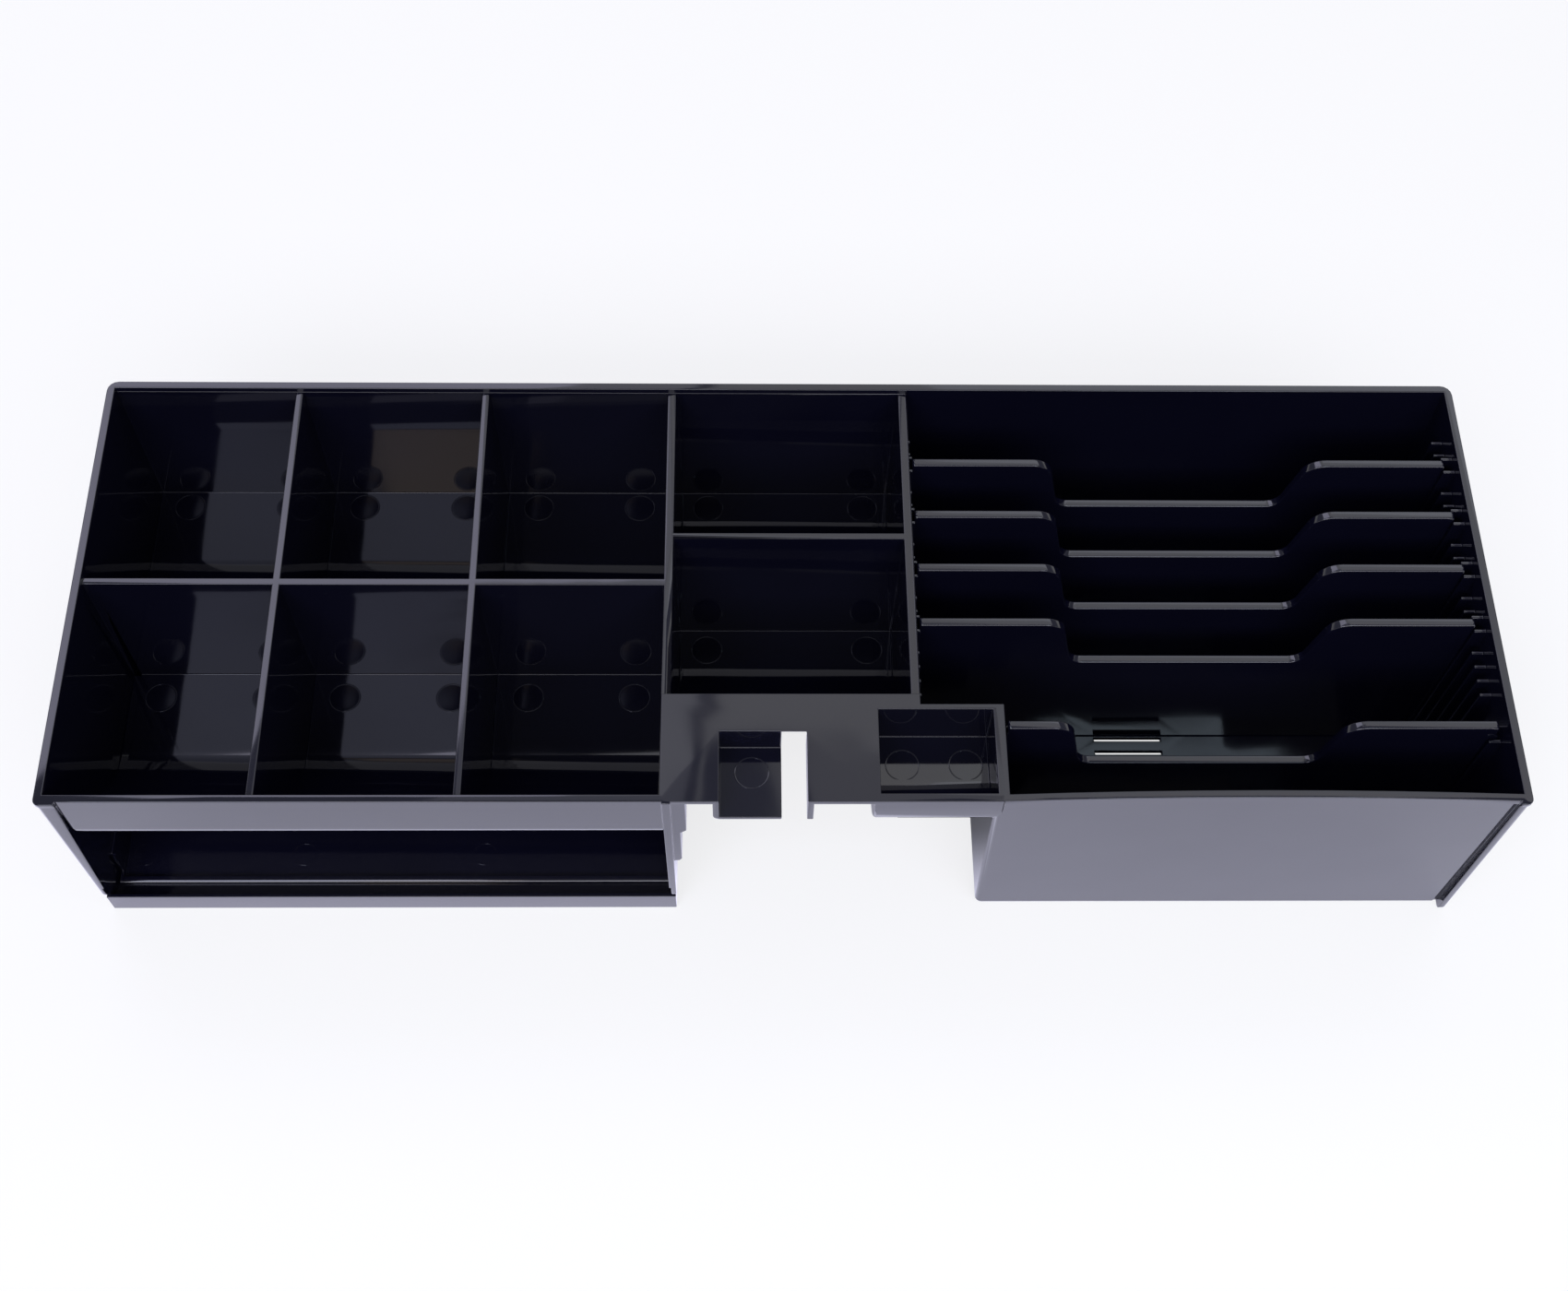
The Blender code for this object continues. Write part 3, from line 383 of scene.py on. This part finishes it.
def round_marks(name, places, section):
    """Low turned marks lying on floors, one at each (x, y, height), from a section of (radius, height)."""
    shape = bmesh.new()
    corners = [shape.verts.new((radius, 0, height)) for radius, height in section]
    edges = [shape.edges.new(pair) for pair in zip(corners, corners[1:])]
    bmesh.ops.spin(
        shape, geom=corners + edges, cent=(0, 0, 0), axis=(0, 0, 1), angle=2 * math.pi,
        steps=RING_STEPS, use_merge=True,
    )
    bmesh.ops.remove_doubles(shape, verts=shape.verts, dist=WELD_DISTANCE)
    bmesh.ops.recalc_face_normals(shape, faces=shape.faces)
    shape.normal_update()
    if max(shape.faces, key=lambda face: face.calc_center_median().z).normal.z < 0:
        bmesh.ops.reverse_faces(shape, faces=shape.faces)
    ring = list(shape.verts) + list(shape.edges) + list(shape.faces)
    for place in places[1:]:
        copy = bmesh.ops.duplicate(shape, geom=ring)["geom"]
        moved = [part for part in copy if isinstance(part, bmesh.types.BMVert)]
        bmesh.ops.translate(shape, verts=moved, vec=place)
    first = [part for part in ring if isinstance(part, bmesh.types.BMVert)]
    bmesh.ops.translate(shape, verts=first, vec=places[0])
    for face in shape.faces:
        face.smooth = True
    return add_piece(name, shape)


def ring_section(radius):
    """Section of a low half-round ring, its ends sunk in the floor."""
    return [(radius + RING_WIDTH / 2 * across, RING_HEIGHT * up) for across, up in RING_SHARES]


cup_places = []
for middle in COIN_CUP_MIDDLES:
    for side in MARK_SIDES:
        cup_places.append((middle + side, FRONT_ROW_MARKS, CUP_FLOOR_HEIGHT))
        cup_places.append((middle + side, BACK_ROW_MARKS, CUP_FLOOR_HEIGHT))
for across in CENTRE_CUP_MARKS:
    cup_places.append((across, CENTRE_ROW_MARKS, CUP_FLOOR_HEIGHT))
    cup_places.append((across, BACK_ROW_MARKS, CUP_FLOOR_HEIGHT))
all_places = cup_places + [LOCK_MARK, *POCKET_MARKS]
tray_marks = round_marks("tray_ejector_rings", all_places, ring_section(RING_RADIUS))
rings_black = gloss_black("moulded_gloss_abs_rings", TRAY_BLACK, TRAY_ROUGHNESS, MARK_WAVE)
tray_marks.data.materials.append(rings_black)
disc_radius = RING_RADIUS - RING_WIDTH / 2
disc_section = [
    (0, DISC_HEIGHT), (disc_radius * DISC_TOP_SHARE, DISC_HEIGHT), (disc_radius, -DISC_HEIGHT),
]
discs = round_marks("cup_ejector_discs", cup_places, disc_section)
dull_black = gloss_black("duller_abs_ejector_discs", TRAY_BLACK, DISC_ROUGHNESS, MARK_WAVE)
dull_black.node_tree.nodes["Principled BSDF"].inputs["Specular IOR Level"].default_value = DISC_SPECULAR
discs.data.materials.append(dull_black)
for piece in (tray_marks, discs):
    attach(piece, "insert")

# Storage base: the shallow pan pressed on below the coin block, moulded in the same black ABS. Its
# front lip and the ridge behind it are thin, and their round edges show as bright lines. Three small
# ejector marks lie on its floor.
BASE_BLACK = "#0B0B19"
BASE_ROUGHNESS = 0.08
BASE_EDGE = 0.00022
BASE_RING_RADIUS = 0.0037
BASE_MARKS = ((-0.2050, -0.0551, 0.0020), (-0.1538, -0.0551, 0.0020), (-0.0961, -0.0551, 0.0020))

base = level_normals(add_piece("storage_base_moulding", softened("storage_base", BASE_EDGE)))
base_black = gloss_black("moulded_gloss_abs_base", BASE_BLACK, BASE_ROUGHNESS, SINK_WAVE)
base.data.materials.append(base_black)
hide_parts("storage_base")
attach(base, "insert")

base_marks = round_marks("base_ejector_rings", BASE_MARKS, ring_section(BASE_RING_RADIUS))
base_marks_black = gloss_black("moulded_gloss_abs_base_marks", BASE_BLACK, BASE_ROUGHNESS, MARK_WAVE)
base_marks.data.materials.append(base_marks_black)
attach(base_marks, "insert")

# Note dividers: five flat blades of gloss black styrene that drop between the ribs, each with a wide
# finger dip. Their top edges are eased at front and back, so a bright line runs along each grey top.
DIVIDER_BLACK = "#0B0B19"
DIVIDER_ROUGHNESS = 0.08
DIVIDER_EDGE = 0.00045
DIVIDER_COUNT = 5

divider_black = gloss_black("moulded_gloss_styrene_divider", DIVIDER_BLACK, DIVIDER_ROUGHNESS, SINK_WAVE)
for number in range(1, DIVIDER_COUNT + 1):
    blade = softened(f"note_divider_{number}", DIVIDER_EDGE)
    divider = level_normals(add_piece(f"note_divider_blade_{number}", blade))
    divider.data.materials.append(divider_black)
    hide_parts(f"note_divider_{number}")
    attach(divider, f"divider_{number}")

bpy.context.view_layer.update()
